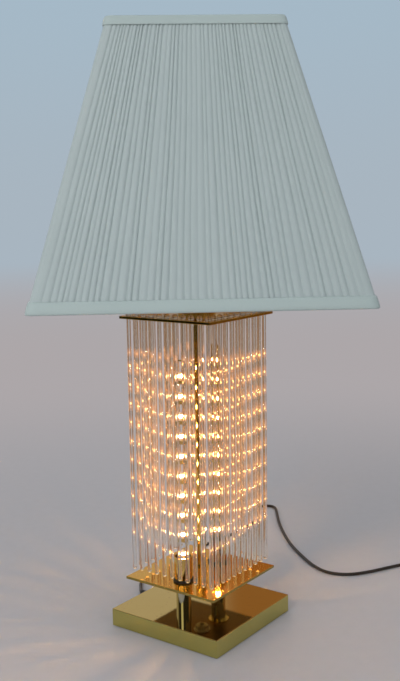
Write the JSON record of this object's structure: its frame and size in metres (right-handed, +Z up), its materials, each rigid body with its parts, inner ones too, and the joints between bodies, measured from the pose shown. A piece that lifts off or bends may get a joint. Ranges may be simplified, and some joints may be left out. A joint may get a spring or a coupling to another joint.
{
  "type": "table lamp",
  "caption": "Table lamp with a brass base, a cage of hanging glass rods lit from inside, a harp, a pleated square shade and a cord.",
  "frame": {"origin": "on the table under the centre of the square base, which is also under the lamp's vertical axis", "axes": "+Z up along the lamp's axis; the base's sides lie along X and Y, and the cord leaves through the middle of the +Y side; the two posts stand at -X and +X"},
  "size_m": [0.6544, 0.4928, 0.6962],
  "materials": {
    "brass": "polished",
    "iron": "rough",
    "steel": "zinc plated",
    "felt": "felt",
    "rod_glass": "clear",
    "lamp_glass": "clear, lit",
    "bulb_glass": "frosted",
    "bulb_metal": "bright",
    "black_plastic": "matte",
    "knob_plastic": "glossy",
    "pleated_cloth": "pleated",
    "trim_cloth": "folded band",
    "frame_wire": "white paint",
    "cord_rubber": "smooth"
  },
  "bodies": {
    "stand": {"base_pad": "felt", "base_shell": "brass", "base_weight": "iron", "centre_pipe": "steel", "centre_tube": "brass", "cord": "cord_rubber", "cord_bushing": "black_plastic", "cord_coil": "cord_rubber", "cup_left": "brass", "cup_right": "brass", "filler_left": "black_plastic", "filler_right": "black_plastic", "harp": "brass", "holders_left": "brass", "holders_right": "brass", "insulator_left": "black_plastic", "insulator_right": "black_plastic", "lamps_left": "lamp_glass", "lamps_right": "lamp_glass", "lower_plate": "brass", "neck": "brass", "pipe_nut": "steel", "pipe_washer": "steel", "plug_blades": "brass", "plug_body": "black_plastic", "post_left": "brass", "post_nuts": "steel", "post_pipes": "steel", "post_right": "brass", "post_rings": "brass", "rails_left": "brass", "rails_right": "brass", "saddle": "brass", "socket_cap": "brass", "socket_contact": "brass", "socket_insert": "black_plastic", "socket_shell": "brass", "upper_plate": "brass", "vase_cap": "brass"},
    "shade": {"shade_front": "pleated_cloth", "shade_right": "pleated_cloth", "shade_back": "pleated_cloth", "shade_left": "pleated_cloth", "trim_bottom": "trim_cloth", "trim_top": "trim_cloth", "frame_ring_top": "frame_wire", "frame_ring_bottom": "frame_wire", "frame_ribs": "frame_wire", "spider": "frame_wire"},
    "finial": {"finial": "brass"},
    "bulb": {"bulb_base": "bulb_metal", "bulb_glass": "bulb_glass"},
    "switch": {"switch_knob": "knob_plastic"},
    "sleeve_left": {"sleeve_left": "brass"},
    "sleeve_right": {"sleeve_right": "brass"},
    "rod_row_front": {"rods_front": "rod_glass"},
    "rod_row_left": {"rods_left": "rod_glass"},
    "rod_row_back": {"rods_back": "rod_glass"},
    "rod_row_right": {"rods_right": "rod_glass"}
  },
  "joints": [
    {"name": "shade_turn", "type": "hinge", "parent": "stand", "child": "shade", "pos_m": [0, 0, 0.67136], "axis": [0, 0, 1], "continuous": true},
    {"name": "finial_turn", "type": "hinge", "parent": "stand", "child": "finial", "pos_m": [0, 0, 0.67216], "axis": [0, 0, 1], "continuous": true},
    {"name": "bulb_turn", "type": "hinge", "parent": "stand", "child": "bulb", "pos_m": [0, 0, 0.4431], "axis": [0, 0, 1], "continuous": true},
    {"name": "switch_turn", "type": "hinge", "parent": "stand", "child": "switch", "pos_m": [0, -0.0215, 0.4332], "axis": [0, -1, 0], "continuous": true},
    {"name": "rods_front_swing", "type": "hinge", "parent": "stand", "child": "rod_row_front", "pos_m": [0, -0.056, 0.37386], "axis": [-1, 0, 0], "range_deg": [-1, 3]},
    {"name": "rods_left_swing", "type": "hinge", "parent": "stand", "child": "rod_row_left", "pos_m": [-0.056, 0, 0.37386], "axis": [0, 1, 0], "range_deg": [-1, 3]},
    {"name": "rods_back_swing", "type": "hinge", "parent": "stand", "child": "rod_row_back", "pos_m": [0, 0.056, 0.37386], "axis": [1, 0, 0], "range_deg": [-1, 3]},
    {"name": "rods_right_swing", "type": "hinge", "parent": "stand", "child": "rod_row_right", "pos_m": [0.056, 0, 0.37386], "axis": [0, -1, 0], "range_deg": [-1, 3]},
    {"name": "sleeve_left_slide", "type": "slide", "parent": "stand", "child": "sleeve_left", "axis": [0, 0, 1], "range_m": [0, 0.01]},
    {"name": "sleeve_right_slide", "type": "slide", "parent": "stand", "child": "sleeve_right", "axis": [0, 0, 1], "range_m": [0, 0.01]}
  ]
}
